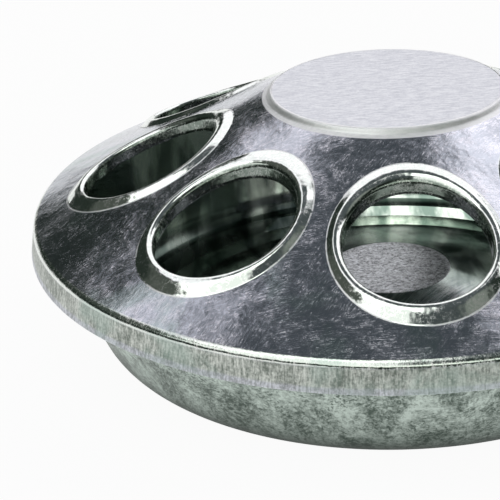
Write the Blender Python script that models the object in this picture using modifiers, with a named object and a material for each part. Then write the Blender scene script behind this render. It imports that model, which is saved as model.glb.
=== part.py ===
"""Round chick feeder in pressed sheet steel: a shallow pan and a lift-off lid with eight feeding holes."""

from math import asin, atan2, cos, hypot, pi, radians, sin, tan

import bmesh
import bpy
from mathutils import Vector

MM = 0.001

# Sheet and fits
SHEET = 0.5 * MM  # wall of both pressings
SEAT_GAP = 0.3 * MM  # between the pan's rolled rim and the lid resting on it
SIDE_GAP = 0.5 * MM  # between the pan's rolled rim and the lid's skirt, all round

# Lid
LID_R = 108.2 * MM  # outside of the skirt at its lower edge
SKIRT_H = 7.2 * MM  # skirt below the shoulder bend
SKIRT_FLARE = radians(8.5)  # skirt from the vertical, wider at its lower edge
SHOULDER_BEND_R = 2.4 * MM  # outside of the bend from slope to skirt
SLOPE_ANGLE = radians(25.2)  # slope below the horizontal
PLATEAU_R = 35.2 * MM  # outside of the raised flat in the middle
PLATEAU_RISE = 2.1 * MM  # flat above the slope that it stands on
PLATEAU_EDGE_R = 1.3 * MM  # round edge of the flat
PLATEAU_EDGE_LEAN = 0.45 * MM  # how far the edge leans in from its foot to the flat
PLATEAU_FILLET = 1.4 * MM  # width of the hollow at the foot of the flat's edge
PLATEAU_FILLET_RISE = 0.35 * MM  # hollow's upper end above the slope's line

# Feeding holes, round in plan
HOLE_COUNT = 8
HOLE_CIRCLE_R = 71.0 * MM  # from the feeder's axis to a hole's axis
LIP_R = 21.8 * MM  # crest of the raised lip round a hole
LIP_RISE_UPHILL = 0.8 * MM  # crest above the slope, on the plateau's side
LIP_RISE_DOWNHILL = 2.0 * MM  # crest above the slope, on the skirt's side
LIP_FLANK_ALONG = 4.0 * MM  # crest to foot in plan, uphill and downhill
LIP_FLANK_ACROSS = 2.4 * MM  # crest to foot in plan, at the sides
LIP_BROW = 1.1 * MM  # crest to the point where the flank steepens, in plan
LIP_BROW_SHARE = 0.85  # share of the crest's rise that is left at that point
LIP_BEND_R = 1.9 * MM  # outside of the bend over the crest
COLLAR_DEPTH = 4.7 * MM  # turned-in collar below the crest
COLLAR_DRAW = 0.2 * MM  # how far the collar closes in towards its lower edge

# Pan
PAN_H = 40.4 * MM  # standing face to the top of the rolled rim
PAN_BASE_R = 86.2 * MM  # where the wall's line meets the standing face
WALL_DRAFT = radians(23.7)  # wall from the vertical
PAN_CORNER_R = 13.8 * MM  # outside of the bend from wall to floor
FLARE_DROP = 8.0 * MM  # top of the rim down to where the wall flares
CURL_R = 1.6 * MM  # outside of the rolled rim
CURL_TURN = radians(267)  # how far the rim is rolled round
STAND_RING_R = 69.4 * MM  # inside of the flat ring that the pan stands on
HUB_R = 18.4 * MM  # flat hub in the middle of the floor, over its round edge
HUB_H = 16.9 * MM  # standing face to the top of the hub
HUB_EDGE_R = 3.0 * MM  # round edge of the hub

# Finishes: colour and roughness
PAN_STEEL = ((0.46, 0.50, 0.48), 0.34)
LID_STEEL = ((0.48, 0.49, 0.52), 0.26)

# Facets
ROUND_STEPS = 64
OUTER_STEPS = 8  # along one hole's share of the shoulder
INNER_STEPS = 4  # along one hole's share of the plateau's foot
SIDE_STEPS = 8  # along the line between two holes
BEND_STEPS = 3
CORNER_STEPS = 5
CURL_STEPS = 7
MERGE = 0.01 * MM  # points closer than this are one point
SHARP_FOLD = radians(40)  # a fold sharper than this keeps its edge in the shading

# Shoulder bend, reckoned in from the skirt's lower edge
SKIRT_TOP_R = LID_R - SKIRT_H * tan(SKIRT_FLARE)
SHOULDER_CENTRE_R = SKIRT_TOP_R - SHOULDER_BEND_R * cos(SKIRT_FLARE)
SLOPE_END_R = SHOULDER_CENTRE_R + SHOULDER_BEND_R * sin(SLOPE_ANGLE)
SLOPE_TOP_R = PLATEAU_R + PLATEAU_FILLET

# The rolled rim's middle, clear of skirt and slope, and the slope line that it carries
TO_SKIRT = CURL_R + SIDE_GAP + SHEET
TO_SLOPE = CURL_R + SEAT_GAP + SHEET
SKIRT_SHARE = (TO_SKIRT - SHOULDER_BEND_R) * cos(SLOPE_ANGLE)
SLOPE_SHARE = (SHOULDER_BEND_R - TO_SLOPE) * sin(SKIRT_FLARE)
CURL_INSET = (SKIRT_SHARE + SLOPE_SHARE) / cos(SLOPE_ANGLE + SKIRT_FLARE)
CURL_CENTRE = Vector((SHOULDER_CENTRE_R - CURL_INSET, PAN_H - CURL_R))
SLOPE_POINT = CURL_CENTRE + Vector((sin(SLOPE_ANGLE), cos(SLOPE_ANGLE))) * TO_SLOPE


def slope_z(radius):
    """Height of the slope's outer face at a distance from the feeder's axis."""
    return SLOPE_POINT.y - (radius - SLOPE_POINT.x) * tan(SLOPE_ANGLE)


PLATEAU_Z = slope_z(SLOPE_TOP_R) + PLATEAU_RISE
SHOULDER_CENTRE_Z = slope_z(SLOPE_END_R) - SHOULDER_BEND_R * cos(SLOPE_ANGLE)
SKIRT_FOOT_Z = SHOULDER_CENTRE_Z + SHOULDER_BEND_R * sin(SKIRT_FLARE) - SKIRT_H


def lip_rise(radius):
    """Height of a lip's crest above the slope, at a distance from the feeder's axis."""
    share = (radius - (HOLE_CIRCLE_R - LIP_R)) / (2 * LIP_R)
    return LIP_RISE_UPHILL + share * (LIP_RISE_DOWNHILL - LIP_RISE_UPHILL)


def arc(centre, radius, start, turn, steps):
    """Points on an arc in the profile plane, both ends included."""
    angles = [start + turn * i / steps for i in range(steps + 1)]
    return [centre + radius * Vector((cos(a), sin(a))) for a in angles]


def bend(before, corner, after, radius, steps):
    """Arc that rounds the corner between two straight stretches of a profile."""
    back = (before - corner).normalized()
    ahead = (after - corner).normalized()
    half = back.angle(ahead) / 2
    centre = corner + (back + ahead).normalized() * radius / sin(half)
    first = corner + back * radius / tan(half) - centre
    last = corner + ahead * radius / tan(half) - centre
    start = atan2(first.y, first.x)
    turn = (atan2(last.y, last.x) - start + pi) % (2 * pi) - pi
    return arc(centre, radius, start, turn, steps)


def pan_profile():
    """Outer face of the pan, from the end of the rolled rim down the wall and in to the axis."""
    wall_lean = Vector((tan(WALL_DRAFT), 1.0))
    base_corner = Vector((PAN_BASE_R, 0.0))
    flare = base_corner + wall_lean * (PAN_H - FLARE_DROP)
    inner_curl_r = CURL_R - SHEET
    to_centre = CURL_CENTRE - flare
    lead_in = atan2(to_centre.y, to_centre.x) + asin(inner_curl_r / to_centre.length) + pi / 2
    curl = arc(CURL_CENTRE, inner_curl_r, lead_in - CURL_TURN, CURL_TURN, CURL_STEPS)
    ring_edge = Vector((STAND_RING_R, 0.0))
    hub_corner = Vector((HUB_R, HUB_H - SHEET))
    hub_middle = Vector((0.0, HUB_H - SHEET))
    corner = bend(flare, base_corner, ring_edge, PAN_CORNER_R, CORNER_STEPS)
    hub_edge = bend(ring_edge, hub_corner, hub_middle, HUB_EDGE_R, BEND_STEPS)
    return [*curl, flare, *corner, ring_edge, *hub_edge, hub_middle]


def plateau_profile():
    """Outer face of the plateau's edge, from the top of the slope in to the flat."""
    slope_top = Vector((SLOPE_TOP_R, slope_z(SLOPE_TOP_R)))
    foot = Vector((PLATEAU_R, slope_z(PLATEAU_R) + PLATEAU_FILLET_RISE))
    edge = Vector((PLATEAU_R - PLATEAU_EDGE_LEAN, PLATEAU_Z))
    middle = Vector((0.0, PLATEAU_Z))
    return [slope_top, foot, *bend(foot, edge, middle, PLATEAU_EDGE_R, BEND_STEPS)]


def shoulder_profile():
    """Outer face of the shoulder bend and the skirt, from the end of the slope down."""
    centre = Vector((SHOULDER_CENTRE_R, SHOULDER_CENTRE_Z))
    start = pi / 2 - SLOPE_ANGLE
    shoulder = arc(centre, SHOULDER_BEND_R, start, SKIRT_FLARE - start, BEND_STEPS)
    return [*shoulder, Vector((LID_R, SKIRT_FOOT_Z))]


def sector_outline(half_sector):
    """Plan points round one hole's share of the slope, as seen from the hole's axis along +X."""
    centre = Vector((HOLE_CIRCLE_R, 0.0))
    outer_corner = Vector((cos(half_sector), sin(half_sector))) * SLOPE_END_R - centre
    inner_corner = Vector((cos(half_sector), sin(half_sector))) * SLOPE_TOP_R - centre
    outer_turn = atan2(outer_corner.y, outer_corner.x)
    inner_turn = atan2(inner_corner.y, inner_corner.x)

    def on_circle(angle, radius, side):
        """Reach to a circle about the feeder's axis: its far side for 1, its near side for -1."""
        along = HOLE_CIRCLE_R * cos(angle)
        reach = -along + side * (along**2 + radius**2 - HOLE_CIRCLE_R**2) ** 0.5
        return angle, reach

    def on_side(angle):
        """Reach to the line half way to the next hole."""
        return angle, HOLE_CIRCLE_R * sin(half_sector) / sin(abs(angle) - half_sector)

    points = []
    for i in range(OUTER_STEPS):
        points.append(on_circle(outer_turn * (2 * i / OUTER_STEPS - 1), SLOPE_END_R, 1))
    for i in range(SIDE_STEPS):
        points.append(on_side(outer_turn + (inner_turn - outer_turn) * i / SIDE_STEPS))
    for i in range(INNER_STEPS):
        points.append(on_circle(inner_turn + 2 * (pi - inner_turn) * i / INNER_STEPS, SLOPE_TOP_R, -1))
    for i in range(SIDE_STEPS):
        points.append(on_side(-inner_turn + (inner_turn - outer_turn) * i / SIDE_STEPS))
    return points


def lip_sections(outline):
    """Closed sections from a collar's lower edge, over the lip and out to the sector's outline.

    Each section is a list of plan points about the hole's axis with their heights.
    """

    def section(reach_at, z_at):
        """Points in each direction of the outline, from a reach and the height at that radius."""
        points = []
        for angle, reach in outline:
            out = reach_at(angle, reach)
            x = HOLE_CIRCLE_R + out * cos(angle)
            y = out * sin(angle)
            points.append(Vector((x, y, z_at(hypot(x, y)))))
        return points

    def foot(angle):
        """Reach of the lip's foot, longer up and down the slope than across it."""
        return LIP_R + LIP_FLANK_ACROSS + (LIP_FLANK_ALONG - LIP_FLANK_ACROSS) * cos(angle) ** 2

    def above_slope(share):
        """Height at a share of the lip's rise, as a function of the radius."""
        return lambda radius: slope_z(radius) + lip_rise(radius) * share

    soft = LIP_BEND_R * sin(pi / 4)
    drop = LIP_BEND_R - soft
    collar = [
        (LIP_R - LIP_BEND_R - COLLAR_DRAW, COLLAR_DEPTH),
        (LIP_R - LIP_BEND_R, LIP_BEND_R),
        (LIP_R - soft, drop),
        (LIP_R, 0.0),
    ]
    crest_z = above_slope(1.0)
    sections = []
    for radius, depth in collar:
        sections.append(section(lambda angle, reach: radius, lambda rho: crest_z(rho) - depth))
    sections.append(section(lambda angle, reach: LIP_R + LIP_BROW, above_slope(LIP_BROW_SHARE)))
    sections.append(section(lambda angle, reach: foot(angle), slope_z))
    sections.append(section(lambda angle, reach: (foot(angle) + reach) / 2, slope_z))
    sections.append(section(lambda angle, reach: reach, slope_z))
    return sections


def turned(point, azimuth):
    """Point of a profile or a sector, turned about the feeder's axis."""
    if len(point) == 2:
        point = Vector((point.x, 0.0, point.y))
    x = point.x * cos(azimuth) - point.y * sin(azimuth)
    y = point.x * sin(azimuth) + point.y * cos(azimuth)
    return Vector((x, y, point.z))


def loft(bm, sections, closed):
    """Skin of four-sided faces through sections with the same number of points."""
    rows = [[bm.verts.new(point) for point in section] for section in sections]
    count = len(rows[0])
    for lower, upper in zip(rows, rows[1:]):
        for i in range(count if closed else count - 1):
            j = (i + 1) % count
            bm.faces.new((lower[i], lower[j], upper[j], upper[i]))
    return rows


def lid_surface():
    """Outer face of the lid as one open surface: eight lipped sectors, the plateau and the skirt."""
    bm = bmesh.new()
    half_sector = pi / HOLE_COUNT
    outline = sector_outline(half_sector)
    sections = lip_sections(outline)
    rim_points = sections[-1]
    outer = [atan2(p.y, p.x) for p in rim_points[:OUTER_STEPS]]
    first_inner = OUTER_STEPS + SIDE_STEPS
    inner = [atan2(p.y, p.x) for p in rim_points[first_inner : first_inner + INNER_STEPS]]
    outer_ring = []
    inner_ring = []
    for hole in range(HOLE_COUNT):
        azimuth = -pi / 2 + 2 * pi * hole / HOLE_COUNT
        loft(bm, [[turned(p, azimuth) for p in section] for section in sections], closed=True)
        outer_ring += [azimuth + a for a in outer]
        inner_ring += [azimuth + a for a in reversed(inner)]
    loft(bm, [[turned(p, a) for a in outer_ring] for p in shoulder_profile()], closed=True)
    plateau = loft(bm, [[turned(p, a) for a in inner_ring] for p in plateau_profile()], closed=True)
    bm.faces.new(plateau[-1])
    bmesh.ops.remove_doubles(bm, verts=bm.verts, dist=MERGE)
    bmesh.ops.recalc_face_normals(bm, faces=bm.faces)
    top = max(bm.faces, key=lambda face: face.calc_center_median().z)
    if top.normal.z < 0:
        bmesh.ops.reverse_faces(bm, faces=bm.faces)
    return bm


def steel(name, colour, roughness):
    """Bare zinc-coated steel."""
    material = bpy.data.materials.new(name)
    material.use_nodes = True
    shader = material.node_tree.nodes["Principled BSDF"]
    shader.inputs["Base Color"].default_value = (*colour, 1.0)
    shader.inputs["Metallic"].default_value = 1.0
    shader.inputs["Roughness"].default_value = roughness
    material.diffuse_color = (*colour, 1.0)
    return material


def add_wall(piece):
    """Sheet thickness on the inner side of an open outer face."""
    wall = piece.modifiers.new("wall", "SOLIDIFY")
    wall.thickness = SHEET
    wall.offset = -1.0
    wall.use_even_offset = True


def shade(mesh):
    """Smooth shading with sharp folds kept."""
    mesh.shade_smooth()
    mesh.set_sharp_from_angle(angle=SHARP_FOLD)


def build_pan(collection):
    """Pan: rolled rim, leaning wall, flat standing ring and a floor that rises to a flat hub."""
    profile = pan_profile()
    mesh = bpy.data.meshes.new("pan")
    edges = [(i, i + 1) for i in range(len(profile) - 1)]
    mesh.from_pydata([(p.x, 0.0, p.y) for p in profile], edges, [])
    pan = bpy.data.objects.new("pan", mesh)
    collection.objects.link(pan)
    turn = pan.modifiers.new("turn", "SCREW")
    turn.axis = "Z"
    turn.angle = 2 * pi
    turn.steps = ROUND_STEPS
    turn.render_steps = ROUND_STEPS
    turn.use_merge_vertices = True
    turn.merge_threshold = MERGE
    turn.use_smooth_shade = True
    add_wall(pan)
    mesh.materials.append(steel("pan_steel", *PAN_STEEL))
    return pan


def build_lid(collection):
    """Lid: raised plateau, slope with eight lipped feeding holes, shoulder bend and skirt."""
    bm = lid_surface()
    mesh = bpy.data.meshes.new("lid")
    bmesh.ops.translate(bm, verts=bm.verts, vec=(0.0, 0.0, -SKIRT_FOOT_Z))
    bm.to_mesh(mesh)
    bm.free()
    shade(mesh)
    lid = bpy.data.objects.new("lid", mesh)
    lid.location.z = SKIRT_FOOT_Z
    collection.objects.link(lid)
    add_wall(lid)
    mesh.materials.append(steel("lid_steel", *LID_STEEL))
    return lid


def main():
    for item in list(bpy.data.objects):
        bpy.data.objects.remove(item)
    feeder = bpy.data.collections.new("chick_feeder")
    bpy.context.scene.collection.children.link(feeder)
    base = bpy.data.objects.new("feeder", None)
    feeder.objects.link(base)
    for piece in (build_pan(feeder), build_lid(feeder)):
        piece.parent = base


main()
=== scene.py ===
"""Looks of a round chick feeder: pan and lift-off lid of zinc-coated steel in a plain white studio."""

import logging
from collections.abc import Callable, Sequence
from dataclasses import dataclass
from enum import Enum
from math import asin, atan2, cos, hypot, pi, radians, sin, tan
from typing import Any

import bmesh
import bpy
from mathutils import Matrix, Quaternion, Vector


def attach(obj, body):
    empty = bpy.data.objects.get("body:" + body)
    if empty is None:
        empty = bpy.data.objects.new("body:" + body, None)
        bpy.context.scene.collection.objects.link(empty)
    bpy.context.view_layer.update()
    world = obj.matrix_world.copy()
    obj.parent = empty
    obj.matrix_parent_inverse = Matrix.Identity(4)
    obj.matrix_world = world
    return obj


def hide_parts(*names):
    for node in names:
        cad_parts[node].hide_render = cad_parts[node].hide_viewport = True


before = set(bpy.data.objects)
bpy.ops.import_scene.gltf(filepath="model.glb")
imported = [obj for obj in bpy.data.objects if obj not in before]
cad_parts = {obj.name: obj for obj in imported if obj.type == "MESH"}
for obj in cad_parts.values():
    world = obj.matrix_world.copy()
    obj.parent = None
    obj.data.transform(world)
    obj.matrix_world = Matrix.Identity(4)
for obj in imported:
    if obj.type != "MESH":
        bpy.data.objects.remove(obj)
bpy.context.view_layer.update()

log = logging.getLogger("chick_feeder")

MM = 0.001
MERGE = 0.002 * MM
CUT_ANGLE = radians(60)
SMOOTH_ANGLE = radians(42)
Colour = tuple[float, float, float]
Place = tuple[float, float, float]
Point = tuple[float, float]
Span = tuple[float, float]


class Facing(Enum):
    """Which way the outer face of a sheet looks where it is checked."""

    UP = 1
    DOWN = -1


class MixSocket(Enum):
    """Places of the colour sockets on a Mix node."""

    FIRST = 6
    SECOND = 7
    RESULT = 2


# Shader sheets


def operators(operation: str) -> tuple[Callable[..., "Value"], Callable[..., "Value"]]:
    """Makes an arithmetic operator for values.

    Args:
        operation: name of the Math node's operation.

    Returns:
        The operator's method and its reflected form.
    """

    def plain(self: "Value", other: "Operand") -> "Value":
        """Operation with this value on the left."""
        return self._math(operation, self, other)

    def reflected(self: "Value", other: "Operand") -> "Value":
        """Operation with a number on the left."""
        return self._math(operation, other, self)

    return plain, reflected


class Value:
    """Output socket of a shader node. Arithmetic on it adds Math nodes to its sheet."""

    def __init__(self, sheet: "NodeSheet", socket: bpy.types.NodeSocket) -> None:
        """Keeps the sheet and the socket."""
        self.sheet = sheet
        self.socket = socket

    def _math(self, operation: str, *operands: "Operand") -> "Value":
        """Result of a Math node, with its operands in the node's order."""
        return self.sheet.node("ShaderNodeMath", {"operation": operation}, dict(enumerate(operands)))

    __add__, __radd__ = operators("ADD")
    __sub__, __rsub__ = operators("SUBTRACT")
    __mul__, __rmul__ = operators("MULTIPLY")
    __truediv__, __rtruediv__ = operators("DIVIDE")
    __pow__, __rpow__ = operators("POWER")

    def cosine(self) -> "Value":
        """Cosine of an angle in radians."""
        return self._math("COSINE", self)

    def sine(self) -> "Value":
        """Sine of an angle in radians."""
        return self._math("SINE", self)

    def ridge(self, narrow: float) -> "Value":
        """Lines of 1 on 0 where a noise passes its middle, thinner where narrow is larger."""
        return (1 - self._math("ABSOLUTE", self - 0.5) * narrow).at_least(0.0)

    def folded(self, size: float) -> "Value":
        """Distance from the nearest even multiple of a size."""
        return self._math("PINGPONG", self, size)

    def angle_from(self, across: "Value") -> "Value":
        """Angle of the direction whose height is this value."""
        return self._math("ARCTAN2", self, across)

    def at_most(self, other: "Operand") -> "Value":
        """The smaller of two."""
        return self._math("MINIMUM", self, other)

    def at_least(self, other: "Operand") -> "Value":
        """The larger of two."""
        return self._math("MAXIMUM", self, other)

    def past(self, low: float, high: float) -> "Value":
        """Smooth step up: 0 up to low, 1 from high."""
        inputs = {"Value": self, "From Min": low, "From Max": high}
        return self.sheet.node("ShaderNodeMapRange", {"interpolation_type": "SMOOTHSTEP"}, inputs)

    def before(self, low: float, high: float) -> "Value":
        """Smooth step down: 1 up to low, 0 from high."""
        return 1 - self.past(low, high)

    def within(self, low: float, high: float, soft: float) -> "Value":
        """1 between two limits, fading to 0 over a soft border astride each."""
        return self.past(low - soft, low + soft) * self.before(high - soft, high + soft)

    def beside(self, output: int | str) -> "Value":
        """Another output of the same node, by its number or name."""
        return Value(self.sheet, self.socket.node.outputs[output])


Operand = Value | float


@dataclass(frozen=True)
class Grain:
    """Noise of a finish: grains to the metre, finer layers, their weight, bend, stretch by axis, and turn."""

    scale: float
    layers: float
    weight: float
    bend: float = 0.0
    stretch: Place | None = None
    turn: float = 0.0


class NodeSheet:
    """Node tree of a material or of the world, with one method for every kind of node."""

    def __init__(self, tree: bpy.types.NodeTree) -> None:
        """Empties the tree."""
        self.tree = tree
        tree.nodes.clear()

    def node(
        self,
        kind: str,
        settings: dict[str, Any] | None = None,
        inputs: dict[int | str, Any] | None = None,
        output: int | str = 0,
    ) -> Value:
        """Adds a node.

        Args:
            kind: Blender's type name of the node.
            settings: the node's own settings.
            inputs: values or links by the name or number of their socket.
            output: name or number of the socket that is handed back.

        Returns:
            The chosen output, or the first input's sheet value where the node has none.
        """
        made = self.tree.nodes.new(kind)
        for key, setting in (settings or {}).items():
            setattr(made, key, setting)
        for key, given in (inputs or {}).items():
            if isinstance(given, Value):
                self.tree.links.new(given.socket, made.inputs[key])
            else:
                made.inputs[key].default_value = given
        return Value(self, made.outputs[output] if len(made.outputs) else made.inputs[0])

    def colour(self, share: Operand, first: Any, second: Any) -> Value:
        """Mix of two colours.

        Args:
            share: 0 for the first colour, 1 for the second.
            first: colour or link.
            second: colour or link.

        Returns:
            The mixed colour.
        """
        picks = {
            0: share,
            MixSocket.FIRST.value: first if isinstance(first, Value) else (*first, 1.0),
            MixSocket.SECOND.value: second if isinstance(second, Value) else (*second, 1.0),
        }
        return self.node("ShaderNodeMix", {"data_type": "RGBA"}, picks, MixSocket.RESULT.value)

    def blend(self, share: Operand, first: Operand, second: Operand) -> Value:
        """Mix of two numbers."""
        return share * second + (1 - share) * first

    def vector(self, x: Operand, y: Operand, z: Operand) -> Value:
        """Vector from three values."""
        return self.node("ShaderNodeCombineXYZ", inputs={0: x, 1: y, 2: z})

    def noise(self, place: Value, grain: Grain) -> Value:
        """Noise around 0.5.

        Args:
            place: vector that it is read at, already stretched and turned.
            grain: kind of noise.

        Returns:
            The noise value.
        """
        inputs = {"Vector": place, "Scale": grain.scale, "Detail": grain.layers}
        inputs |= {"Roughness": grain.weight, "Distortion": grain.bend}
        return self.node("ShaderNodeTexNoise", inputs=inputs)


class Spot:
    """Place on the feeder as a material sees it, with the distances that the finishes are laid out by."""

    def __init__(self, sheet: NodeSheet) -> None:
        """Reads the place.

        Args:
            sheet: sheet of the material.
        """
        self.sheet = sheet
        self.place = sheet.node("ShaderNodeTexCoord", output="Object")
        self.x = sheet.node("ShaderNodeSeparateXYZ", inputs={0: self.place}, output=0)
        self.y = self.x.beside(1)
        self.z = self.x.beside(2)
        self.radius = (self.x * self.x + self.y * self.y) ** 0.5

    def from_hole(self, circle: float, count: int) -> tuple[Value, Value]:
        """Place against the nearest hole.

        Args:
            circle: radius of the holes' circle.
            count: number of holes.

        Returns:
            Distance in plan from the hole's axis.
            1 straight up or down the slope from that axis, 0 straight across.
        """
        turn = self.y.angle_from(self.x).folded(pi / count)
        uphill = self.radius * turn.cosine() - circle
        sideways = self.radius * turn.sine()
        square = (uphill * uphill + sideways * sideways).at_least(MM * MM)
        return square**0.5, uphill * uphill / square

    def noise(self, grain: Grain) -> Value:
        """Noise at this place.

        Args:
            grain: kind of noise. A stretched one has its first axis at the grain's turn from +X in plan.

        Returns:
            The noise value, around 0.5.
        """
        if grain.stretch is None:
            return self.sheet.noise(self.place, grain)
        along, across, up = grain.stretch
        ahead, aside = self.x, self.y
        if grain.turn:
            ahead = self.x * cos(grain.turn) + self.y * sin(grain.turn)
            aside = self.y * cos(grain.turn) - self.x * sin(grain.turn)
        return self.sheet.noise(self.sheet.vector(ahead * along, aside * across, self.z * up), grain)


# Finishes


@dataclass(frozen=True)
class Zinc:
    """Zinc surface of one zone: its dark and its pale tone, and the roughness of each."""

    dark: Colour
    pale: Colour
    dark_gloss: float
    pale_gloss: float


@dataclass(frozen=True)
class LidFinish:
    """Lid: scuffed slope with the rolling grain, matte plateau, polished lips, a streaked skirt, and a
    painted highlight along the plateau's rim and the lips' feet.
    """

    name: str = "lid_zinc"
    plateau_border: float = 0.9 * MM
    plateau_drop: float = 0.62 * MM
    rim_lap: float = 0.3 * MM
    collar_lap: float = 0.3 * MM
    shoulder_lap: float = 0.17 * MM
    skirt_lap: float = 0.05 * MM
    hem_h: float = 2.15 * MM
    crease: Span = (-0.42 * MM, -0.04 * MM)
    patina_r: Span = (55 * MM, 100 * MM)
    patina_share: float = 0.4
    patina: Colour = (0.38, 0.52, 0.46)
    slope: Zinc = Zinc((0.48, 0.51, 0.56), (0.95, 0.94, 1.0), 0.13, 0.33)
    # Painted highlight: pale, rough zinc along the plateau's rim and the lips' feet.
    painted_highlight: Zinc = Zinc((0.90, 0.92, 0.91), (1.0, 1.0, 1.0), 0.50, 0.60)
    shoulder: Zinc = Zinc((0.72, 0.77, 0.72), (1.0, 1.0, 0.98), 0.08, 0.34)
    collar: Zinc = Zinc((0.20, 0.24, 0.21), (0.58, 0.62, 0.58), 0.16, 0.30)
    plateau: Zinc = Zinc((0.48, 0.50, 0.53), (0.66, 0.68, 0.69), 0.36, 0.30)
    polish: Zinc = Zinc((0.74, 0.79, 0.74), (0.98, 0.99, 0.96), 0.06, 0.26)
    skirt: Zinc = Zinc((0.20, 0.23, 0.20), (0.82, 0.85, 0.80), 0.36, 0.44)
    hem: Zinc = Zinc((0.30, 0.32, 0.33), (0.80, 0.82, 0.88), 0.34, 0.42)
    cloud: Grain = Grain(70, 6, 0.7, 0.8)
    mottle: Grain = Grain(380, 5, 0.7, 0.6)
    flecks: Grain = Grain(1500, 3, 0.7)
    handled: Grain = Grain(60, 3, 0.6, 0.4)
    rolled: Grain = Grain(1, 4, 0.75, 1.0, (260, 2300, 1300))
    strokes: Grain = Grain(1, 4, 0.75, 1.4, (300, 2100, 300), radians(52))
    scored: Grain = Grain(1, 3, 0.7, 0.4, (60, 900, 400))
    crossed: Grain = Grain(1, 3, 0.7, 0.6, (80, 700, 80), radians(35))
    brushed: Grain = Grain(1, 5, 0.7, 0.0, (260, 1300, 1300))
    hanging: Grain = Grain(1, 4, 0.7, 0.0, (1500, 1500, 110))
    weather: Grain = Grain(36, 4, 0.6, 0.5)
    dents: Grain = Grain(95, 3, 0.55)
    swells: Grain = Grain(34, 1, 0.5)
    scored_narrow: float = 40
    crossed_narrow: float = 44
    dent_depth: float = 12
    swell_depth: float = 45
    relief: float = 0.03 * MM

    def material(self, lid: "Lid") -> bpy.types.Material:
        """Builds the material.

        Args:
            lid: part whose sizes lay the zones out.

        Returns:
            The material.
        """
        material, sheet = new_material(self.name)
        spot = Spot(sheet)

        hole, uphill = spot.from_hole(lid.hole_circle, lid.hole_count)
        foot = uphill * (lid.flank_along - lid.flank_across) + (lid.lip_r + lid.flank_across)
        lip = (hole - foot).before(-0.35 * MM, 0.1 * MM)
        crease = (hole - foot).within(*self.crease, 0.1 * MM)
        collar_end = lid.lip_r - lid.lip_bend + self.collar_lap
        collar = hole.before(collar_end - 0.1 * MM, collar_end + 0.3 * MM)
        rim_start = lid.plateau_r - lid.plateau_edge_r
        rim_end = lid.slope_top_r + self.rim_lap
        rim = spot.radius.within(rim_start, rim_end, 0.2 * MM)
        plateau_end = lid.plateau_r - self.plateau_border
        plateau_z = lid.plateau_z - self.plateau_drop
        level = spot.z.past(plateau_z - MM, plateau_z)
        plateau = spot.radius.before(plateau_end - 0.4 * MM, plateau_end) * level
        skirt_top = lid.shoulder_end.y - self.skirt_lap
        skirt = spot.z.before(skirt_top - 0.5 * MM, skirt_top)
        shoulder_start = lid.slope_end_r - self.shoulder_lap
        shoulder = spot.radius.past(shoulder_start, shoulder_start + 0.4 * MM) * (1 - skirt)

        cloud = spot.noise(self.cloud)
        mottle = spot.noise(self.mottle)
        flecks = spot.noise(self.flecks)
        hanging = spot.noise(self.hanging)
        handled = spot.noise(self.handled).past(0.44, 0.60)
        grain = sheet.blend(handled, spot.noise(self.rolled), spot.noise(self.strokes))
        scored = spot.noise(self.scored).ridge(self.scored_narrow)
        crossed = spot.noise(self.crossed).ridge(self.crossed_narrow)
        scratches = sheet.blend(handled, scored, crossed)
        slope_tone = (cloud * 0.6 + mottle * 0.5 + grain * 0.95 + flecks * 0.4 - 0.725).past(0.40, 0.82)
        slope_tone = (slope_tone + scratches * mottle.past(0.45, 0.6) * 0.22).at_most(1.0)
        plateau_tone = (spot.noise(self.brushed) * 0.7 + flecks * 0.3).past(0.38, 0.62)
        skirt_tone = (hanging * 0.45 + cloud * 0.25 + flecks * 0.3 + mottle * 0.2 - 0.1).past(0.38, 0.62)
        polish_tone = (cloud * 0.2 + flecks * 0.4 + mottle * 0.4).past(0.47, 0.60)
        ticks = (hanging * 0.6 + flecks * 0.4).past(0.46, 0.62)
        hem_top = lid.shoulder_end.y - lid.sizes.skirt_h + self.hem_h
        hem = (spot.z + (mottle + cloud) * MM).before(hem_top, hem_top + MM)

        zones = [
            (None, self.slope, slope_tone),
            (plateau, self.plateau, plateau_tone),
            (lip, self.polish, polish_tone),
            (shoulder, self.shoulder, ticks),
            # Painted highlight on the plateau's rim and, broken up, at the lips' feet.
            (rim.at_least(crease * cloud.past(0.40, 0.52)), self.painted_highlight, plateau_tone),
            (collar, self.collar, polish_tone),
            (skirt, self.skirt, skirt_tone),
            (skirt * hem, self.hem, skirt_tone),
        ]
        colour, gloss = lay_zones(sheet, zones)
        green = spot.noise(self.weather).past(0.46, 0.60) * spot.radius.past(*self.patina_r)
        colour = sheet.colour(green * (1 - lip) * self.patina_share, colour, self.patina)

        dents = spot.noise(self.dents) * self.dent_depth + spot.noise(self.swells) * self.swell_depth
        flat = (plateau * 0.8).at_least(lip.at_least(shoulder) * 0.9)
        height = (grain * 0.9 + flecks * 0.6 + scratches * 0.08) * (1 - flat)
        height = height + hanging * (skirt + shoulder * 2) + dents * (1 - plateau * 0.7)
        zinc_shader(sheet, colour, gloss, height, self.relief)
        return material


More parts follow.
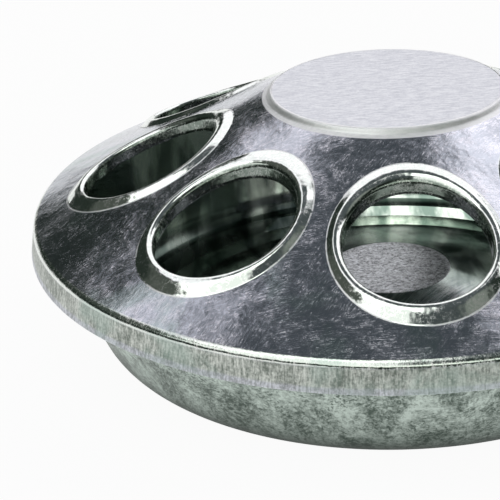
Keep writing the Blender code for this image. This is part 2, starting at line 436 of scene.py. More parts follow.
@dataclass(frozen=True)
class PanFinish:
    """Pan: feathered zinc crystals outside, a bright wall inside, and a drawn floor. Inside, painted shade
    darkens the left side and a band low in the corner, and the front half is painted paler as a pool of
    light.

    Inside, the wall is shaded as if it leaned a little more, and the corner as if it were steeper.
    """

    name: str = "pan_zinc"
    hub_lap: float = 0.2 * MM
    outside: Zinc = Zinc((0.08, 0.11, 0.09), (0.62, 0.71, 0.65), 0.34, 0.46)
    lining: Zinc = Zinc((0.20, 0.27, 0.23), (0.90, 0.97, 0.88), 0.12, 0.20)
    # Painted shade: the left side of the inside is darker, and a little rougher.
    shaded_side: Zinc = Zinc((0.26, 0.32, 0.28), (0.80, 0.90, 0.80), 0.16, 0.26)
    # Painted shade: a dark band low in the inner corner, and low on the left side of the inside.
    deep_shade: Zinc = Zinc((0.03, 0.05, 0.04), (0.14, 0.18, 0.15), 0.20, 0.30)
    # Drawn streaks on the inside, painted pale over its front half as a painted pool of light.
    floor: Zinc = Zinc((0.26, 0.26, 0.32), (0.97, 0.94, 1.0), 0.14, 0.30)
    hub: Zinc = Zinc((0.06, 0.065, 0.065), (0.72, 0.75, 0.76), 0.30, 0.36)
    rise: Zinc = Zinc((0.10, 0.14, 0.12), (0.42, 0.50, 0.44), 0.14, 0.24)
    shaded_side_x: Span = (-46 * MM, -28 * MM)
    lit_front_y: Span = (-35 * MM, -5 * MM)
    corner_shade_z: Span = (2.1 * MM, 3.5 * MM)
    left_bottom_shade_z: Span = (5 * MM, 7.5 * MM)
    left_bottom_shade_share: float = 0.75
    low_shade_z: Span = (-2 * MM, 15 * MM)
    skirt_shade_z: Span = (30.6 * MM, 32.2 * MM)
    ring_pale: float = 0.4
    crystals: float = 120
    wander_x: float = 5 * MM
    wander_z: float = 4 * MM
    feather_stretch: Place = (1300, 1300, 260)
    feather_ends: Grain = Grain(150, 3, 0.6)
    feather: Grain = Grain(1, 4, 0.7, 0.6)
    cloud: Grain = Grain(55, 5, 0.65, 0.5)
    mottle: Grain = Grain(420, 4, 0.7, 0.3)
    patches: Grain = Grain(1, 3, 0.6, 0.6, (110, 110, 60))
    flecks: Grain = Grain(1300, 3, 0.65)
    fine: Grain = Grain(900, 4, 0.75, 1.2)
    hanging: Grain = Grain(1, 3, 0.55, 0.0, (110, 30, 20))
    drawn: Grain = Grain(1, 4, 0.7, 0.4, (90, 1500, 90), radians(48))
    ground: Grain = Grain(1, 4, 0.8, 0.5, (1000, 1500, 1500))
    swells: Grain = Grain(90, 2, 0.5)
    swell_depth: float = 4
    relief: float = 0.04 * MM
    wall_lean: float = 0.058
    turn_end: float = 5.6 * MM
    turn_fade: float = 17.9 * MM
    turn_steep: float = 0.85

    def feathers(self, sheet: NodeSheet, spot: Spot) -> Value:
        """Zinc crystals, each with its own direction of grain.

        Args:
            sheet: sheet of the material.
            spot: place on the pan.

        Returns:
            Noise around 0.5.
        """
        wander = spot.noise(self.feather_ends)
        cell_place = sheet.vector(spot.x + wander * self.wander_x, spot.y, spot.z + wander * self.wander_z)
        inputs = {"Vector": cell_place, "Scale": self.crystals}
        cells = sheet.node("ShaderNodeTexVoronoi", inputs=inputs, output="Color")
        middle = cells.beside("Position")
        chance = sheet.node("ShaderNodeSeparateColor", inputs={0: cells})
        turned = sheet.node(
            "ShaderNodeVectorRotate",
            {"rotation_type": "AXIS_ANGLE"},
            {"Vector": spot.place, "Center": middle, "Axis": middle, "Angle": chance * (2 * pi)},
        )
        across = sheet.node("ShaderNodeSeparateXYZ", inputs={0: turned}, output=0)
        scaled = [across.beside(axis) * scale for axis, scale in enumerate(self.feather_stretch)]
        return sheet.noise(sheet.vector(*scaled), self.feather)

    def inner_face(self, sheet: NodeSheet, spot: Spot, pan: "Pan") -> Value:
        """Tells the inner face of the wall and the corner from the outer one.

        Args:
            sheet: sheet of the material.
            spot: place on the pan.
            pan: part whose sizes give the face.

        Returns:
            1 on the inner face, 0 on the outer one.
        """
        middle = pan.sizes.sheet / 2
        wall = (spot.radius - pan.base_r - spot.z * tan(pan.draft)) * cos(pan.draft)
        outwards = (spot.radius - pan.corner_start_r).at_least(0.0)
        upwards = spot.z - pan.corner_r
        corner = (outwards * outwards + upwards * upwards) ** 0.5 - pan.corner_r
        off = sheet.blend(spot.z.past(pan.corner_top - 0.1 * MM, pan.corner_top + 0.1 * MM), corner, wall)
        return off.before(-middle - 0.05 * MM, -middle + 0.05 * MM)

    def material(self, pan: "Pan") -> bpy.types.Material:
        """Builds the material.

        Args:
            pan: part whose sizes lay the zones out.

        Returns:
            The material.
        """
        material, sheet = new_material(self.name)
        spot = Spot(sheet)

        inner_face = self.inner_face(sheet, spot, pan)
        outer_face = 1 - inner_face
        low = spot.radius.before(pan.corner_start_r - 0.2 * MM, pan.corner_start_r + 0.2 * MM)
        # lit is 1 on the right of the inside and 0 on the left, where the lining gets painted shade.
        lit = spot.x.past(*self.shaded_side_x)
        # Painted shade low on the left side and in a band of the inner corner.
        left_bottom_shade = (1 - lit) * spot.z.before(*self.left_bottom_shade_z) * self.left_bottom_shade_share
        deep_shade_mask = spot.z.within(*self.corner_shade_z, 0.2 * MM).at_least(left_bottom_shade)
        shade = (spot.z.past(*self.low_shade_z) * 0.8 + 0.2) * (1 - spot.z.past(*self.skirt_shade_z) * 0.8)
        hub_end = pan.hub_r + self.hub_lap

        feathers = self.feathers(sheet, spot)
        cloud = spot.noise(self.cloud)
        mottle = spot.noise(self.mottle)
        flecks = spot.noise(self.flecks)
        patches = spot.noise(self.patches)
        fine = spot.noise(self.fine)
        outside_tone = feathers * 0.3 + patches * 0.35 + mottle * 0.25 + fine * 0.4
        pits = flecks.before(0.40, 0.48) * cloud.past(0.50, 0.62)
        outside_tone = (outside_tone - 0.15).past(0.38, 0.62) * (1 - pits * 0.9) * shade
        lining_tone = (spot.noise(self.hanging) * 0.8 + cloud * 0.2).past(0.42, 0.60)
        lit_front_tone = (spot.noise(self.drawn) * 0.75 + cloud * 0.25).past(0.42, 0.60)
        hub_tone = (spot.noise(self.ground) * 0.8 + mottle * 0.2).past(0.36, 0.62)

        zones = [
            (None, self.lining, (lining_tone + low * self.ring_pale).at_most(1.0)),
            (spot.radius.before(pan.ring_r - 0.6 * MM, pan.ring_r), self.rise, lining_tone),
            # Painted shade on the left side of the inside.
            (1 - lit, self.shaded_side, lining_tone),
            # Painted shade in the inner corner and low on the left.
            (deep_shade_mask * (1 - low), self.deep_shade, lining_tone),
            # Painted pool of light: the front half of the inside, walls too, is paler.
            (spot.y.before(*self.lit_front_y), self.floor, lit_front_tone),
            (outer_face * spot.radius.past(pan.ring_r - MM, pan.ring_r + MM), self.outside, outside_tone),
            (spot.radius.before(hub_end - 0.3 * MM, hub_end), self.hub, hub_tone),
        ]
        colour, gloss = lay_zones(sheet, zones)

        turn = (spot.radius - pan.corner_start_r).at_least(0.0).at_most(self.turn_end)
        form = spot.z * self.wall_lean + turn * (1 - turn / self.turn_fade) * lit * self.turn_steep
        form = form * inner_face * spot.radius.past(pan.ring_r, pan.ring_r + MM)
        height = (feathers * 0.6 + flecks * 0.6) * (outer_face * 0.8 + 0.2)
        height = height + spot.noise(self.swells) * self.swell_depth
        zinc_shader(sheet, colour, gloss, height + form / self.relief, self.relief)
        return material


def new_material(name: str) -> tuple[bpy.types.Material, NodeSheet]:
    """Starts a material.

    Args:
        name: name of the material.

    Returns:
        The material and its empty sheet.
    """
    material = bpy.data.materials.new(name)
    material.use_nodes = True
    return material, NodeSheet(material.node_tree)


def lay_zones(sheet: NodeSheet, zones: Sequence[tuple[Value | None, Zinc, Value]]) -> tuple[Value, Value]:
    """Lays zones of zinc over each other.

    Args:
        sheet: sheet of the material.
        zones: mask, zinc and tone of each zone, the ground first, with no mask.

    Returns:
        Colour and roughness of the whole.
    """
    colour = gloss = None
    for mask, zinc, tone in zones:
        tint = sheet.colour(tone, zinc.dark, zinc.pale)
        sheen = zinc.dark_gloss + tone * (zinc.pale_gloss - zinc.dark_gloss)
        if mask is None:
            colour, gloss = tint, sheen
        else:
            colour = sheet.colour(mask, colour, tint)
            gloss = sheet.blend(mask, gloss, sheen)
    return colour, gloss


def zinc_shader(sheet: NodeSheet, colour: Value, gloss: Value, height: Value, relief: float) -> None:
    """Ends a metal material.

    Args:
        sheet: sheet of the material.
        colour: base colour.
        gloss: roughness.
        height: relief of the surface, in units of relief.
        relief: depth of one unit of height, in metres.
    """
    normal = sheet.node("ShaderNodeBump", inputs={"Height": height, "Distance": relief, "Strength": 1.0})
    inputs = {"Base Color": colour, "Roughness": gloss, "Metallic": 1.0, "Normal": normal}
    shader = sheet.node("ShaderNodeBsdfPrincipled", inputs=inputs)
    sheet.node("ShaderNodeOutputMaterial", inputs={"Surface": shader})


# Profiles


def arc(centre: Vector, radius: float, start: float, turn: float, steps: int) -> list[Point]:
    """Points on an arc in the profile plane, from a start angle through a turn, both ends included."""
    angles = [start + turn * i / steps for i in range(steps + 1)]
    return [(centre.x + radius * cos(a), centre.y + radius * sin(a)) for a in angles]


def bend(before: Vector, corner: Vector, after: Vector, radius: float, steps: int) -> list[Point]:
    """Arc that rounds the corner between two straight stretches of a profile.

    Args:
        before: a point on the stretch that comes in.
        corner: where the stretches would meet.
        after: a point on the stretch that goes out.
        radius: radius of the arc.
        steps: number of stretches in the arc.

    Returns:
        The arc's points.
    """
    back = (before - corner).normalized()
    ahead = (after - corner).normalized()
    half = back.angle(ahead) / 2
    centre = corner + (back + ahead).normalized() * radius / sin(half)
    first = corner + back * radius / tan(half) - centre
    last = corner + ahead * radius / tan(half) - centre
    start = atan2(first.y, first.x)
    turn = (atan2(last.y, last.x) - start + pi) % (2 * pi) - pi
    return arc(centre, radius, start, turn, steps)


# Modelling


class Bench:
    """Modelling steps on one mesh in edit mode, on vertices picked by their place."""

    def __init__(self, name: str, vertices: int, radius: float, centre: Vector) -> None:
        """Starts a piece from a ring.

        Args:
            name: name of the piece.
            vertices: number of points round the ring.
            radius: radius of the ring.
            centre: middle of the ring.
        """
        bpy.ops.object.select_all(action="DESELECT")
        bpy.ops.mesh.primitive_circle_add(vertices=vertices, radius=radius, location=centre)
        bpy.ops.object.transform_apply(location=True, rotation=False, scale=False)
        self.piece = bpy.context.object
        self.piece.name = name
        self.piece.data.name = name
        bpy.ops.object.mode_set(mode="EDIT")
        bpy.ops.mesh.select_mode(type="VERT")
        bpy.ops.mesh.select_all(action="SELECT")

    def pick(self, test: Callable[[Vector], bool]) -> None:
        """Selects vertices.

        Args:
            test: tells from a vertex's place whether it is selected.
        """
        bpy.ops.mesh.select_all(action="DESELECT")
        mesh = bmesh.from_edit_mesh(self.piece.data)
        for vertex in mesh.verts:
            vertex.select = test(vertex.co)
        mesh.select_flush_mode()
        bmesh.update_edit_mesh(self.piece.data)

    def place(self, where: Callable[[Vector], Vector]) -> None:
        """Moves the selected vertices.

        Args:
            where: gives each one's new place from its old one.
        """
        mesh = bmesh.from_edit_mesh(self.piece.data)
        for vertex in mesh.verts:
            if vertex.select:
                vertex.co = where(vertex.co)
        bmesh.update_edit_mesh(self.piece.data)

    def follow(self, profile: Sequence[Point], axis_x: float = 0.0) -> None:
        """Draws the selected ring out along a profile.

        Args:
            profile: radius and height of each ring, the selected one first.
            axis_x: where the rings' upright axis stands.
        """
        for (radius, height), (next_radius, next_height) in zip(profile, profile[1:]):
            share = next_radius / radius
            bpy.ops.mesh.extrude_edges_indiv()
            bpy.ops.transform.translate(value=(0.0, 0.0, next_height - height))
            bpy.ops.transform.resize(value=(share, share, 1.0), center_override=(axis_x, 0.0, 0.0))

    def close(self, inset: float) -> None:
        """Closes the selected ring with a flat face that has a narrow border.

        Args:
            inset: radius of the face as a share of the ring's.
        """
        bpy.ops.mesh.extrude_edges_indiv()
        bpy.ops.transform.resize(value=(inset, inset, 1.0), center_override=(0.0, 0.0, 0.0))
        bpy.ops.mesh.edge_face_add()

    def finish(self, sheet: float, facing: Facing, edge: float) -> bpy.types.Object:
        """Gives the outer face its sheet thickness and softened cut edges.

        Args:
            sheet: thickness of the sheet.
            facing: way that the outer face looks at its highest or lowest point.
            edge: width of the softened edge.

        Returns:
            The piece.
        """
        bpy.ops.mesh.select_all(action="SELECT")
        bpy.ops.mesh.remove_doubles(threshold=MERGE)
        bpy.ops.mesh.normals_make_consistent(inside=False)
        bpy.ops.object.mode_set(mode="OBJECT")
        mesh = self.piece.data
        end_face = max(mesh.polygons, key=lambda face: face.center.z * facing.value)
        if end_face.normal.z * facing.value < 0:
            mesh.flip_normals()
        wall = self.piece.modifiers.new("wall", "SOLIDIFY")
        wall.thickness = sheet
        wall.offset = -1.0
        wall.use_even_offset = True
        bpy.ops.object.modifier_apply(modifier=wall.name)
        soft = self.piece.modifiers.new("soft_edges", "BEVEL")
        soft.width = edge
        soft.segments = 2
        soft.limit_method = "ANGLE"
        soft.angle_limit = CUT_ANGLE
        bpy.ops.object.modifier_apply(modifier=soft.name)
        bpy.ops.object.shade_smooth_by_angle(angle=SMOOTH_ANGLE)
        return self.piece


@dataclass
class Sizes:
    """Sizes that the lid and the pan share."""

    sheet: float = 0.5 * MM
    seat_gap: float = 0.3 * MM
    side_gap: float = 0.5 * MM
    edge: float = 0.09 * MM
    lid_r: float = 108.2 * MM
    skirt_h: float = 7.2 * MM
    skirt_flare: float = radians(8.5)
    shoulder_r: float = 2.4 * MM
    pan_h: float = 40.4 * MM
    curl_r: float = 1.6 * MM
    slope_angle: float = radians(25.2)

    @property
    def shoulder_centre_r(self) -> float:
        """Distance of the shoulder bend's middle from the feeder's axis."""
        return self.lid_r - self.skirt_h * tan(self.skirt_flare) - self.shoulder_r * cos(self.skirt_flare)

    @property
    def curl_centre(self) -> Vector:
        """Middle of the pan's rolled rim in the profile plane, clear of skirt and slope.

        Returns:
            Its distance from the feeder's axis and its height.
        """
        to_skirt = self.curl_r + self.side_gap + self.sheet
        to_slope = self.curl_r + self.seat_gap + self.sheet
        skirt_share = (to_skirt - self.shoulder_r) * cos(self.slope_angle)
        slope_share = (self.shoulder_r - to_slope) * sin(self.skirt_flare)
        inset = (skirt_share + slope_share) / cos(self.slope_angle + self.skirt_flare)
        return Vector((self.shoulder_centre_r - inset, self.pan_h - self.curl_r))

    def slope_z(self, radius: float) -> float:
        """Height of the slope's outer face.

        Args:
            radius: distance from the feeder's axis.

        Returns:
            The height there.
        """
        reach = self.curl_r + self.seat_gap + self.sheet
        touch = self.curl_centre + Vector((sin(self.slope_angle), cos(self.slope_angle))) * reach
        return touch.y - (radius - touch.x) * tan(self.slope_angle)


@dataclass
class Pan:
    """Pan: rolled rim, leaning wall, flat standing ring and a floor that rises to a flat hub."""

    sizes: Sizes
    finish: PanFinish
    base_r: float = 86.2 * MM
    draft: float = radians(23.7)
    corner_r: float = 13.8 * MM
    flare_drop: float = 8.0 * MM
    flare_bend: float = 6.0 * MM
    curl_turn: float = radians(267)
    ring_r: float = 69.4 * MM
    ring_edge: float = 0.8 * MM
    hub_r: float = 18.4 * MM
    hub_h: float = 16.9 * MM
    hub_edge: float = 3.0 * MM
    hub_face: float = 0.97
    round_steps: int = 256
    curl_steps: int = 28
    flare_steps: int = 5
    corner_steps: int = 16
    ring_edge_steps: int = 3
    hub_edge_steps: int = 8

    @property
    def corner_start_r(self) -> float:
        """Distance from the axis at which the ring starts to turn up into the wall."""
        return self.base_r - self.corner_r * tan((pi / 2 - self.draft) / 2)

    @property
    def corner_top(self) -> float:
        """Height at which the corner ends and the straight wall starts."""
        return self.corner_r * (1 - sin(self.draft))

    def profile(self) -> list[Point]:
        """Outer face from the end of the rolled rim down the wall and in to the hub.

        Returns:
            Radius and height of each point.
        """
        sizes = self.sizes
        lean = Vector((tan(self.draft), 1.0))
        base = Vector((self.base_r, 0.0))
        flare = base + lean * (sizes.pan_h - self.flare_drop)
        inner_r = sizes.curl_r - sizes.sheet
        to_centre = sizes.curl_centre - flare
        lead_in = atan2(to_centre.y, to_centre.x) + asin(inner_r / to_centre.length) + pi / 2
        curl = arc(sizes.curl_centre, inner_r, lead_in - self.curl_turn, self.curl_turn, self.curl_steps)
        ring = Vector((self.ring_r, 0.0))
        hub = Vector((self.hub_r, self.hub_h - sizes.sheet))
        middle = Vector((0.0, self.hub_h - sizes.sheet))
        flared = bend(Vector(curl[-1]), flare, base, self.flare_bend, self.flare_steps)
        corner = bend(flare, base, ring, self.corner_r, self.corner_steps)
        ring_edge = bend(base, ring, hub, self.ring_edge, self.ring_edge_steps)
        hub_edge = bend(ring, hub, middle, self.hub_edge, self.hub_edge_steps)
        return [*curl, *flared, *corner, *ring_edge, *hub_edge]

    def build(self) -> bpy.types.Object:
        """Models and dresses the pan.

        Returns:
            The finished piece.
        """
        profile = self.profile()
        first_r, first_z = profile[0]
        bench = Bench("feeder_pan", self.round_steps, first_r, Vector((0.0, 0.0, first_z)))
        bench.follow(profile)
        bench.close(self.hub_face)
        pan = bench.finish(self.sizes.sheet, Facing.DOWN, self.sizes.edge)
        pan.data.materials.append(self.finish.material(self))
        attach(pan, "pan")
        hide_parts("pan")
        return pan


@dataclass
class Lid:
    """Lid: raised plateau, slope with eight lipped feeding holes, shoulder bend and skirt."""

    sizes: Sizes
    finish: LidFinish
    plateau_r: float = 35.2 * MM
    plateau_rise: float = 2.1 * MM
    plateau_edge_r: float = 1.3 * MM
    plateau_lean: float = 0.45 * MM
    plateau_fillet: float = 1.4 * MM
    plateau_foot_rise: float = 0.35 * MM
    foot_bend: float = 1.2 * MM
    hole_count: int = 8
    hole_circle: float = 71.0 * MM
    lip_r: float = 21.8 * MM
    rise_uphill: float = 0.8 * MM
    rise_downhill: float = 2.0 * MM
    flank_along: float = 4.0 * MM
    flank_across: float = 2.4 * MM
    brow_share: float = 0.35
    foot_share: float = 0.14
    lip_bend: float = 1.9 * MM
    collar_depth: float = 4.7 * MM
    collar_draw: float = 0.2 * MM
    plateau_face: float = 0.985
    hole_steps: int = 128
    collar_shares: tuple[float, ...] = (0.0, 0.35, 0.7)
    lip_steps: int = 14
    flank_shares: tuple[float, ...] = (0.06, 0.12, 0.19, 0.27, 0.35, 0.48, 0.74, 0.86, 0.90, 0.95, 1.0)
    apron_start: float = 0.02
    apron_steps: int = 8
    shoulder_steps: int = 14
    skirt_shares: tuple[float, ...] = (0.03, 0.97, 1.0)
    hollow_steps: int = 6
    brow_steps: int = 8

    @property
    def slope_top_r(self) -> float:
        """Where the slope ends at the plateau's foot."""
        return self.plateau_r + self.plateau_fillet

    @property
    def slope_end_r(self) -> float:
        """Where the slope ends at the shoulder bend."""
        return self.sizes.shoulder_centre_r + self.sizes.shoulder_r * sin(self.sizes.slope_angle)

    @property
    def plateau_z(self) -> float:
        """Height of the plateau's top."""
        return self.sizes.slope_z(self.slope_top_r) + self.plateau_rise

    @property
    def shoulder_centre(self) -> Vector:
        """Middle of the shoulder bend in the profile plane."""
        height = self.sizes.slope_z(self.slope_end_r) - self.sizes.shoulder_r * cos(self.sizes.slope_angle)
        return Vector((self.sizes.shoulder_centre_r, height))

    @property
    def shoulder_end(self) -> Vector:
        """Where the shoulder bend ends at the skirt, in the profile plane."""
        flare = self.sizes.skirt_flare
        return self.shoulder_centre + Vector((cos(flare), sin(flare))) * self.sizes.shoulder_r

    def lip_profile(self) -> list[Point]:
        """Collar and lip from the collar's lower edge to the crest.

        Returns:
            Distance from the hole's axis and height against the crest of each point.
        """
        rounded = self.lip_r - self.lip_bend
        low = Vector((rounded - self.collar_draw, -self.collar_depth))
        collar = [tuple(low.lerp(Vector((rounded, -self.lip_bend)), share)) for share in self.collar_shares]
        lip_centre = Vector((self.lip_r, -self.lip_bend))
        return [*collar, *arc(lip_centre, self.lip_bend, pi, -pi / 2, self.lip_steps)]

    def foot_r(self, angle: float) -> float:
        """Distance of the lip's foot from the hole's axis, longer up and down the slope than across it."""
        return self.lip_r + self.flank_across + (self.flank_along - self.flank_across) * cos(angle) ** 2

    def rise_share(self, out: float) -> float:
        """Share of the crest's rise that is left on the flank, round at the brow and hollow at the foot.

        Args:
            out: way from the crest to the foot, 0 to 1.

        Returns:
            1 at the crest, 0 from the foot on.
        """
        brow, foot = self.brow_share, self.foot_share
        level = min(max(out, 0.0), 1.0)
        fallen = level**2 / (2 * brow) if level < brow else level - brow / 2
        if level > 1 - foot:
            fallen -= (level - 1 + foot) ** 2 / (2 * foot)
        return 1 - fallen / (1 - brow / 2 - foot / 2)

    def lift(self, place: Vector) -> float:
        """Height of the slope with the lip's rise over it, in the sector along +X.

        Args:
            place: point of the sector in plan.

        Returns:
            Its height.
        """
        angle = atan2(place.y, place.x - self.hole_circle)
        out = (hypot(place.x - self.hole_circle, place.y) - self.lip_r) / (self.foot_r(angle) - self.lip_r)
        radius = hypot(place.x, place.y)
        along = (radius - (self.hole_circle - self.lip_r)) / (2 * self.lip_r)
        rise = self.rise_uphill + along * (self.rise_downhill - self.rise_uphill)
        return self.sizes.slope_z(radius) + rise * self.rise_share(out)

    def outline(self) -> dict[int, Vector]:
        """Plan of one hole's share of the slope.

        Returns:
            For each ray from the hole's axis, by its number from the downhill one, where it ends.
        """
        half = pi / self.hole_count
        centre = Vector((self.hole_circle, 0.0))
        edge_line = Vector((cos(half), sin(half)))
        corners = [edge_line * radius - centre for radius in (self.slope_end_r, self.slope_top_r)]
        turns = [atan2(corner.y, corner.x) for corner in corners]
        step = 2 * pi / self.hole_steps
        at_corner = [round(turn / step) for turn in turns]
        ends = {}
        for ray in range(self.hole_steps // 2 + 1):
            angle = ray * step
            along = self.hole_circle * cos(angle)
            if ray in at_corner:
                end = corners[at_corner.index(ray)]
            elif at_corner[0] < ray < at_corner[1]:
                reach = self.hole_circle * sin(half) / sin(angle - half)
                end = Vector((cos(angle), sin(angle))) * reach
            else:
                radius, side = (self.slope_end_r, 1) if ray < at_corner[0] else (self.slope_top_r, -1)
                reach = side * (along**2 + radius**2 - self.hole_circle**2) ** 0.5 - along
                end = Vector((cos(angle), sin(angle))) * reach
            ends[ray] = end
            ends[-ray] = Vector((end.x, -end.y))
        return ends

    def ray_of(self, place: Vector) -> int:
        """Number of the ray from the hole's axis that a point of the sector lies on."""
        return round(atan2(place.y, place.x - self.hole_circle) * self.hole_steps / (2 * pi))

    def flank_place(self, ray: int, share: float) -> Vector:
        """Point of a lip's flank in plan.

        Args:
            ray: number of its ray.
            share: way from the crest to the foot, 0 to 1.

        Returns:
            The point.
        """
        angle = ray * 2 * pi / self.hole_steps
        reach = self.lip_r + (self.foot_r(angle) - self.lip_r) * share
        return Vector((self.hole_circle + reach * cos(angle), reach * sin(angle), 0.0))

    def apron_place(self, ray: int, end: Vector, share: float) -> Vector:
        """Point of a ray in plan, by its share of the way from the lip's foot to the ray's end."""
        return self.flank_place(ray, 1.0).lerp(Vector((self.hole_circle + end.x, end.y, 0.0)), share)

    def sector(self, bench: Bench) -> None:
        """Draws one hole's ring over its lip and out to the edge of its share of the slope.

        Args:
            bench: bench with the ring selected.
        """
        bench.follow(self.lip_profile(), self.hole_circle)
        ends = self.outline()
        for share in self.flank_shares:
            bpy.ops.mesh.extrude_edges_indiv()
            bench.place(lambda place: self.flank_place(self.ray_of(place), share))
        for share in [self.apron_start, *[(i + 1) / self.apron_steps for i in range(self.apron_steps)]]:
            bpy.ops.mesh.extrude_edges_indiv()
            bench.place(lambda place: self.apron_place(self.ray_of(place), ends[self.ray_of(place)], share))

    def build(self) -> bpy.types.Object:
        """Models and dresses the lid.

        Returns:
            The finished piece.
        """
        first_r, first_z = self.lip_profile()[0]
        bench = Bench("feeder_lid", self.hole_steps, first_r, Vector((self.hole_circle, 0.0, first_z)))
        self.sector(bench)
        bpy.ops.mesh.select_all(action="SELECT")
        bench.place(lambda place: place + Vector((0.0, 0.0, self.lift(place))))
        turn = 2 * pi / self.hole_count
        copies = self.hole_count - 1
        axis = {"center": (0.0, 0.0, 0.0), "axis": (0.0, 0.0, 1.0)}
        bpy.ops.mesh.spin(steps=copies, dupli=True, angle=turn * copies, **axis)
        bpy.ops.mesh.select_all(action="SELECT")
        bpy.ops.mesh.remove_doubles(threshold=MERGE)
        self.add_shoulder(bench)
        self.add_plateau(bench)
        lid = bench.finish(self.sizes.sheet, Facing.UP, self.sizes.edge)
        lid.data.materials.append(self.finish.material(self))
        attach(lid, "lid")
        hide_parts("lid")
        return lid

    def add_shoulder(self, bench: Bench) -> None:
        """Bends the slope's outer edge down into the skirt.

        Args:
            bench: bench with the lid's eight sectors on it.
        """
        sizes = self.sizes
        start = pi / 2 - sizes.slope_angle
        turn = sizes.skirt_flare - start
        shoulder = arc(self.shoulder_centre, sizes.shoulder_r, start, turn, self.shoulder_steps)
        top_r, top_z = shoulder[-1]
        out = sizes.lid_r - top_r
        skirt = [(top_r + out * share, top_z - sizes.skirt_h * share) for share in self.skirt_shares]
        bench.pick(lambda v: hypot(v.x, v.y) > self.slope_end_r - MERGE)
        bench.follow([*shoulder, *skirt])

    def add_plateau(self, bench: Bench) -> None:
        """Raises the slope's inner edge into the plateau and closes it.

        Args:
            bench: bench with the lid's eight sectors on it.
        """
        slope_z = self.sizes.slope_z
        slope_top = Vector((self.slope_top_r, slope_z(self.slope_top_r)))
        foot = Vector((self.plateau_r, slope_z(self.plateau_r) + self.plateau_foot_rise))
        edge = Vector((self.plateau_r - self.plateau_lean, self.plateau_z))
        rise = (edge - foot).normalized()
        fall = Vector((cos(self.sizes.slope_angle), -sin(self.sizes.slope_angle)))
        gap = foot - slope_top
        cross = rise.x * fall.y - rise.y * fall.x
        corner = slope_top + fall * ((rise.x * gap.y - rise.y * gap.x) / cross)
        hollow = bend(slope_top, corner, edge, self.foot_bend, self.hollow_steps)
        brow = bend(foot, edge, Vector((0.0, self.plateau_z)), self.plateau_edge_r, self.brow_steps)
        bench.pick(lambda v: hypot(v.x, v.y) < self.slope_top_r + MERGE)
        bench.follow([tuple(slope_top), *hollow, *brow])
        bench.close(self.plateau_face)


# Studio


@dataclass(frozen=True)
class Panel:
    """Light or dim panel over the feeder, with edges by direction: sideways and back as shares of upwards."""

    left: float
    right: float
    front: float
    back: float
    soft: float
    light: Colour

    def mask(self, sideways: Value, backwards: Value) -> Value:
        """Where the panel shows, 0 to 1."""
        across = sideways.within(self.left, self.right, self.soft)
        return across * backwards.within(self.front, self.back, self.soft)


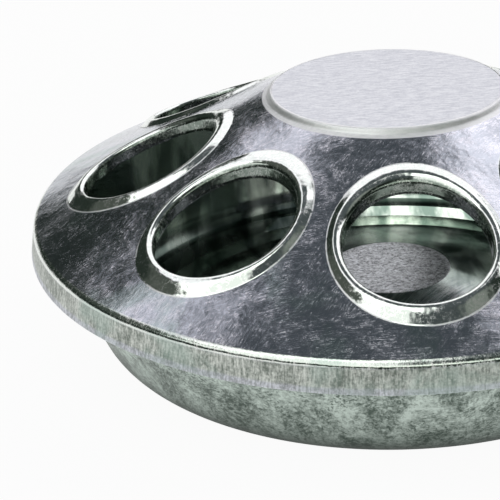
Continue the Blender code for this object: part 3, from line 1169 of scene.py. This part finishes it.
@dataclass
class Studio:
    """White table, a low white wall behind it, panels under a slate ceiling, and the camera."""

    camera_place: Place = (-0.05348, -0.51632, 0.26014)
    camera_aim: Place = (-0.04328, -0.0324, 0.04)
    camera_roll: float = radians(-2.8075)
    camera_near: float = 0.01
    lens: float = 134.11
    table_front: float = -0.33
    table_left: float = -0.5
    table_size: float = 6.0
    table_paint: float = 0.86
    floor_drop: float = 0.05 * MM
    floor_glow: float = 0.95
    # Painted shadow round the feeder on the floor's glow, seen only in reflections.
    painted_shadow_r: Span = (78 * MM, 106 * MM)
    painted_shadow_share: float = 0.85
    wall_z: Span = (0.07, 0.15)
    wall_x: Span = (-0.36, 1.2)
    wall_y: Span = (0.0, 0.2)
    wall_soft: float = 0.08
    ceiling_z: Span = (0.5, 0.95)
    panel_z: Span = (0.05, 0.1)
    gloom: Colour = (0.024, 0.032, 0.027)
    ceiling: Colour = (0.085, 0.097, 0.105)
    white: Colour = (1.0, 1.0, 1.0)
    panels: tuple[Panel, ...] = (
        Panel(-4.0, -0.8, -0.6, 1.2, 0.3, (0.08, 0.09, 0.08)),  # dim card, left
        Panel(-3.0, 3.0, -8.0, -2.3, 0.4, (1.3, 1.36, 1.26)),  # light low in front
        Panel(-0.58, 2.0, 0.58, 6.0, 0.09, (1.25, 1.22, 1.28)),  # light behind
        Panel(0.34, 3.0, 0.30, 0.7, 0.09, (1.6, 1.57, 1.64)),  # strip, right
        Panel(-0.84, -0.44, -0.3, 0.75, 0.08, (1.2, 1.17, 1.24)),  # strip, left
        Panel(-1.0, 0.10, -0.62, -0.05, 0.06, (1.8, 1.84, 1.8)),  # light close in front
        Panel(0.60, 1.6, -0.80, -0.10, 0.10, (0.22, 0.24, 0.22)),  # dim card, right
        Panel(-2.6, -0.05, -3.4, -0.45, 0.05, (1.15, 1.18, 1.15)),  # light in front, left
    )

    def build(self) -> None:
        """Sets up table, surroundings and camera."""
        self.add_table()
        self.add_surroundings()
        self.add_camera()
        bpy.context.scene.view_settings.view_transform = "Standard"

    def add_table(self) -> None:
        """White table top that keeps the feeder's shadow, with a painted shadow round the feeder that only
        reflections see.
        """
        bpy.ops.object.select_all(action="DESELECT")
        half = self.table_size / 2
        middle = (self.table_left + half, self.table_front + half, -self.floor_drop)
        bpy.ops.mesh.primitive_plane_add(size=self.table_size, location=middle)
        bpy.ops.object.transform_apply(location=True, rotation=False, scale=False)
        floor = bpy.context.object
        floor.name = "floor"
        material, sheet = new_material("floor_white")
        seen = sheet.node("ShaderNodeLightPath", output="Is Camera Ray")
        shown = seen + seen.beside("Is Glossy Ray") + seen.beside("Is Transmission Ray")
        paint_tone = (self.table_paint, self.table_paint, self.table_paint, 1.0)
        paint = sheet.node("ShaderNodeBsdfDiffuse", inputs={"Color": paint_tone})
        place = sheet.node("ShaderNodeTexCoord", output="Object")
        out = sheet.node("ShaderNodeVectorMath", {"operation": "LENGTH"}, {0: place}, "Value")
        # Painted shadow round the feeder, darkening the glow that reflections see.
        painted_shadow = out.before(*self.painted_shadow_r) * (1 - seen) * self.painted_shadow_share
        tint = sheet.colour(painted_shadow, self.white, self.gloom)
        glow = sheet.node("ShaderNodeEmission", inputs={"Color": tint, "Strength": 1.0})
        share = shown.at_most(1.0) * self.floor_glow
        mixed = sheet.node("ShaderNodeMixShader", inputs={0: share, 1: paint, 2: glow})
        sheet.node("ShaderNodeOutputMaterial", inputs={"Surface": mixed})
        floor.data.materials.append(material)

    def add_surroundings(self) -> None:
        """Ceiling with the panels, the wall behind, and gloom in front; plain white to the camera."""
        world = bpy.data.worlds.new("studio")
        bpy.context.scene.world = world
        world.use_nodes = True
        sheet = NodeSheet(world.node_tree)
        way = sheet.node("ShaderNodeTexCoord", output="Generated")
        x = sheet.node("ShaderNodeSeparateXYZ", inputs={0: way}, output=0)
        y = x.beside(1)
        z = x.beside(2)
        height = z.at_least(self.panel_z[0])
        light = sheet.colour(z.past(*self.ceiling_z), self.gloom, self.ceiling)
        for panel in self.panels:
            mask = panel.mask(x / height, y / height) * z.past(*self.panel_z)
            light = sheet.colour(mask, light, panel.light)
        behind = z.before(*self.wall_z) * x.within(*self.wall_x, self.wall_soft) * y.past(*self.wall_y)
        light = sheet.colour(behind, light, self.white)
        seen = sheet.node("ShaderNodeLightPath", output="Is Camera Ray")
        light = sheet.colour(seen, light, self.white)
        background = sheet.node("ShaderNodeBackground", inputs={"Color": light, "Strength": 1.0})
        sheet.node("ShaderNodeOutputWorld", inputs={"Surface": background})

    def add_camera(self) -> None:
        """Camera at the photograph's place."""
        data = bpy.data.cameras.new("camera")
        data.lens = self.lens
        data.clip_start = self.camera_near
        camera = bpy.data.objects.new("camera", data)
        bpy.context.scene.collection.objects.link(camera)
        camera.location = self.camera_place
        way = Vector(self.camera_aim) - Vector(self.camera_place)
        roll = Quaternion((0.0, 0.0, 1.0), self.camera_roll)
        camera.rotation_mode = "QUATERNION"
        camera.rotation_quaternion = way.to_track_quat("-Z", "Y") @ roll
        bpy.context.scene.camera = camera


def main() -> None:
    """Builds the feeder and its studio."""
    logging.basicConfig(level=logging.INFO, format="%(name)s: %(message)s")
    sizes = Sizes()
    for maker in (Pan(sizes, PanFinish()), Lid(sizes, LidFinish())):
        piece = maker.build()
        log.info("%s: %d faces", piece.name, len(piece.data.polygons))
    Studio().build()


if __name__ == "__main__":
    main()
